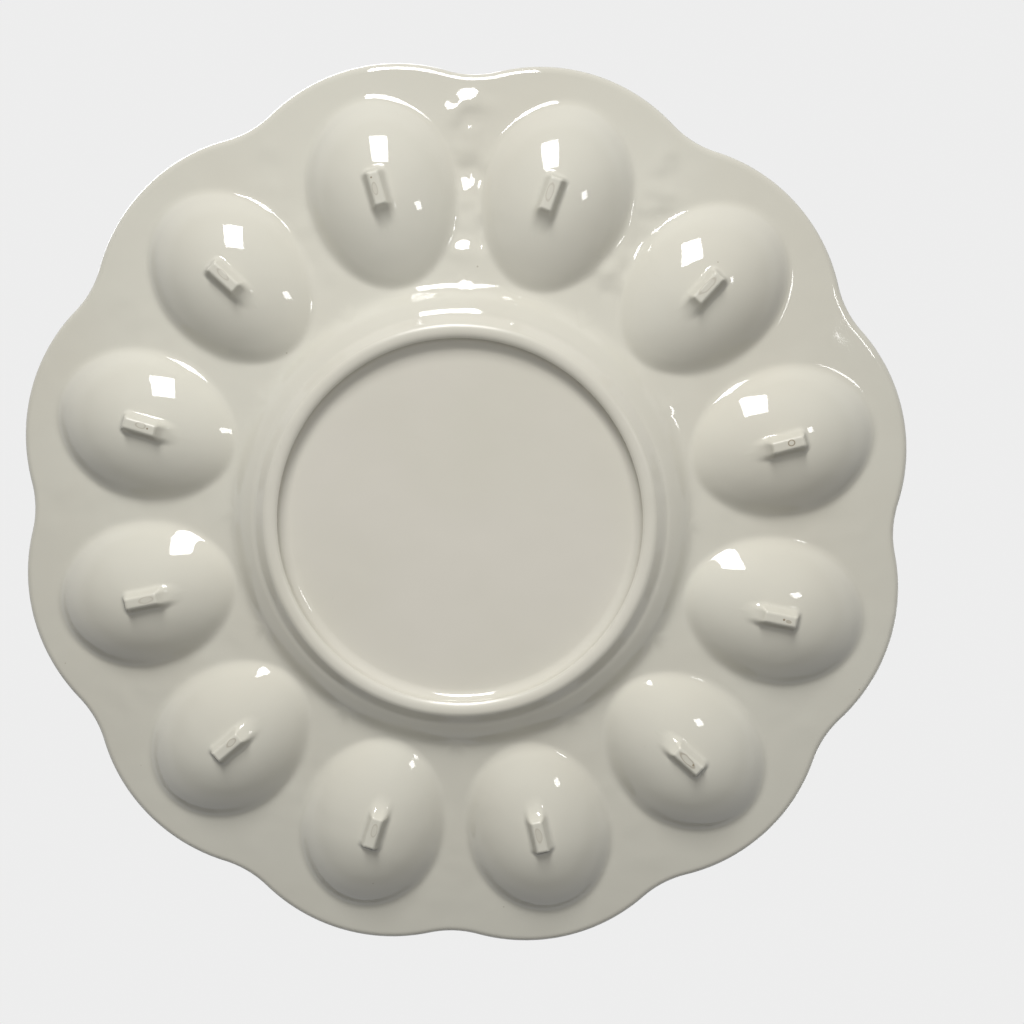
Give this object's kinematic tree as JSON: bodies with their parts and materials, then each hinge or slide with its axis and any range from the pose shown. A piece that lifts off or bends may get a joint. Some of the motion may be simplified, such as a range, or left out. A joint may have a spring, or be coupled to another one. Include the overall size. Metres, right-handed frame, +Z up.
{
  "type": "deviled egg platter",
  "caption": "Round glazed earthenware platter with a scalloped rim, a ring of egg-shaped wells round a shallow centre dish, and a foot ring and small feet beneath.",
  "frame": {"origin": "centre of the plane on which the foot ring and the twelve small feet rest", "axes": "+Z up, out of the wells; +X and +Y each run out through a notch of the rim, with the wells at 15, 45, 75 degrees and so on from +X towards +Y"},
  "size_m": [0.303, 0.303, 0.0233],
  "materials": {
    "ivory_glaze": "glossy ivory glaze over light earthenware"
  },
  "bodies": {
    "root": {"center_floor": "ivory_glaze", "foot_ring": "ivory_glaze", "cavetto": "ivory_glaze", "flange": "ivory_glaze", "rim_edge": "ivory_glaze", "egg_well_01": "ivory_glaze", "egg_well_02": "ivory_glaze", "egg_well_03": "ivory_glaze", "egg_well_04": "ivory_glaze", "egg_well_05": "ivory_glaze", "egg_well_06": "ivory_glaze", "egg_well_07": "ivory_glaze", "egg_well_08": "ivory_glaze", "egg_well_09": "ivory_glaze", "egg_well_10": "ivory_glaze", "egg_well_11": "ivory_glaze", "egg_well_12": "ivory_glaze", "well_foot_01": "ivory_glaze", "well_foot_02": "ivory_glaze", "well_foot_03": "ivory_glaze", "well_foot_04": "ivory_glaze", "well_foot_05": "ivory_glaze", "well_foot_06": "ivory_glaze", "well_foot_07": "ivory_glaze", "well_foot_08": "ivory_glaze", "well_foot_09": "ivory_glaze", "well_foot_10": "ivory_glaze", "well_foot_11": "ivory_glaze", "well_foot_12": "ivory_glaze"}
  },
  "joints": []
}
